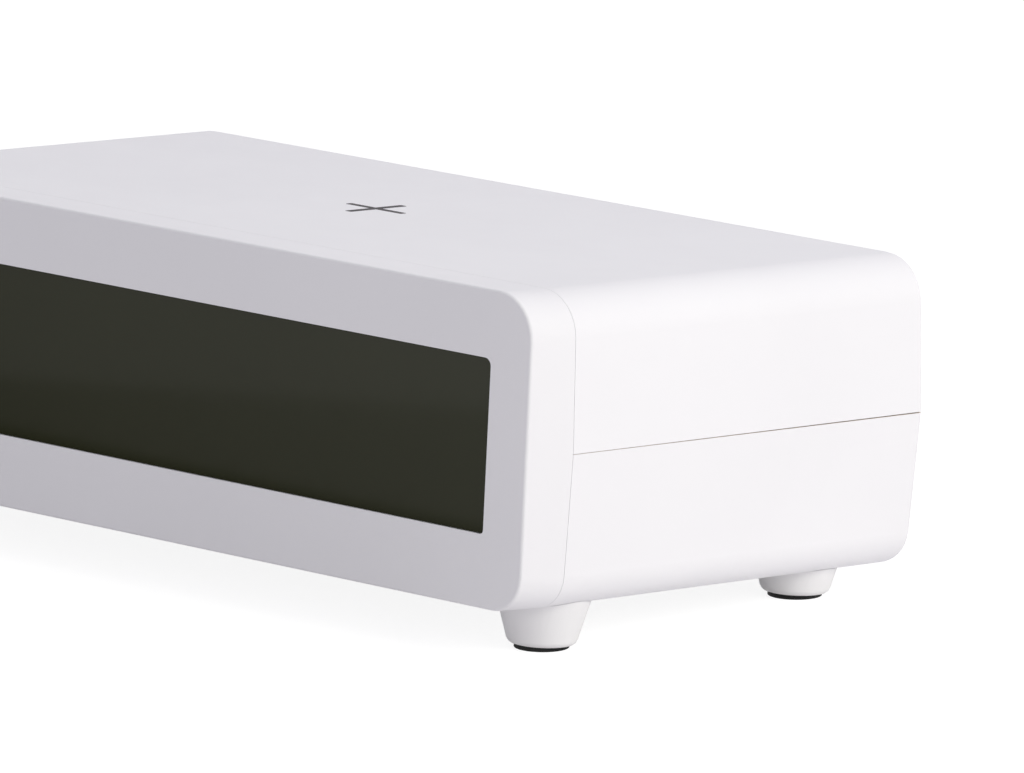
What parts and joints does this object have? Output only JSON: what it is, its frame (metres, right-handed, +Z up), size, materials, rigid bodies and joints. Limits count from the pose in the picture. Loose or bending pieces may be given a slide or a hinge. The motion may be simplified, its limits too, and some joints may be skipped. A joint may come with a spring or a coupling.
{
  "type": "alarm clock",
  "caption": "Wide digital alarm clock: tinted display window in a moulded front frame, wireless charging top, controls at the back, conical feet with rubber pads.",
  "frame": {"origin": "on the table, under the middle of the clock's outline", "axes": "+X along the clock's width to the right seen from the front, +Y from the display to the back, +Z up"},
  "size_m": [0.1948, 0.1058, 0.0677],
  "materials": {
    "white_plastic": "fine matt moulded",
    "foot_plastic": "fine matt moulded",
    "tinted_plastic": "polished, see-through smoky tint",
    "white_film": "light-scattering",
    "reflector_plastic": "moulded",
    "board_laminate": "solder-masked glass laminate",
    "black_rubber": "matt",
    "black_plastic": "moulded",
    "grey_plastic": "fine matt moulded",
    "steel": "zinc plated",
    "bright_steel": "nickel plated",
    "copper": "wound wire",
    "ferrite": "sintered",
    "flat_cable": "film"
  },
  "bodies": {
    "clock_body": {"front_frame": "white_plastic", "display_lens": "tinted_plastic", "diffuser_film": "white_film", "light_box": "reflector_plastic", "display_board": "board_laminate", "display_ribbon": "flat_cable", "upper_shell": "white_plastic", "lower_shell": "white_plastic", "foot_front_left": "foot_plastic", "foot_pad_front_left": "black_rubber", "case_screw_front_left": "steel", "foot_front_right": "foot_plastic", "foot_pad_front_right": "black_rubber", "case_screw_front_right": "steel", "foot_rear_left": "foot_plastic", "foot_pad_rear_left": "black_rubber", "case_screw_rear_left": "steel", "foot_rear_right": "foot_plastic", "foot_pad_rear_right": "black_rubber", "case_screw_rear_right": "steel", "main_board": "board_laminate", "main_board_screw_1": "steel", "main_board_screw_2": "steel", "main_board_screw_3": "steel", "main_board_screw_4": "steel", "control_board": "board_laminate", "control_screw_1": "steel", "control_screw_2": "steel", "power_inlet": "bright_steel", "cell_holder": "black_plastic", "coin_cell": "bright_steel", "cell_contact": "steel", "sounder": "black_plastic", "charging_coil": "copper", "ferrite_sheet": "ferrite", "coil_carrier": "black_plastic", "charging_board": "board_laminate", "carrier_screw_1": "steel", "carrier_screw_2": "steel", "carrier_screw_3": "steel", "carrier_screw_4": "steel", "charging_board_screw_1": "steel", "charging_board_screw_2": "steel", "display_screw_1": "steel", "display_screw_2": "steel", "display_screw_3": "steel", "display_screw_4": "steel"},
    "button_set": {"button_set": "grey_plastic"},
    "button_up": {"button_up": "grey_plastic"},
    "button_down": {"button_down": "grey_plastic"},
    "button_alarm": {"button_alarm": "grey_plastic"},
    "alarm_slider": {"alarm_slider": "grey_plastic"},
    "battery_door": {"battery_door": "white_plastic"}
  },
  "joints": [
    {"name": "button_set_press", "type": "slide", "parent": "clock_body", "child": "button_set", "axis": [0, -0.9988, 0.0489], "range_m": [0, 0.0006], "stiffness_N_per_m": 500},
    {"name": "button_up_press", "type": "slide", "parent": "clock_body", "child": "button_up", "axis": [0, -0.9988, 0.0489], "range_m": [0, 0.0006], "stiffness_N_per_m": 500},
    {"name": "button_down_press", "type": "slide", "parent": "clock_body", "child": "button_down", "axis": [0, -0.9988, 0.0489], "range_m": [0, 0.0006], "stiffness_N_per_m": 500},
    {"name": "button_alarm_press", "type": "slide", "parent": "clock_body", "child": "button_alarm", "axis": [0, -0.9988, 0.0489], "range_m": [0, 0.0006], "stiffness_N_per_m": 500},
    {"name": "alarm_slider_throw", "type": "slide", "parent": "clock_body", "child": "alarm_slider", "axis": [1, 0, 0], "range_m": [0, 0.003]},
    {"name": "battery_door_turn", "type": "hinge", "parent": "clock_body", "child": "battery_door", "pos_m": [-0.03, 0.00704, 0.00685], "axis": [0, 0.0489, 0.9988], "range_deg": [0, 45]}
  ]
}
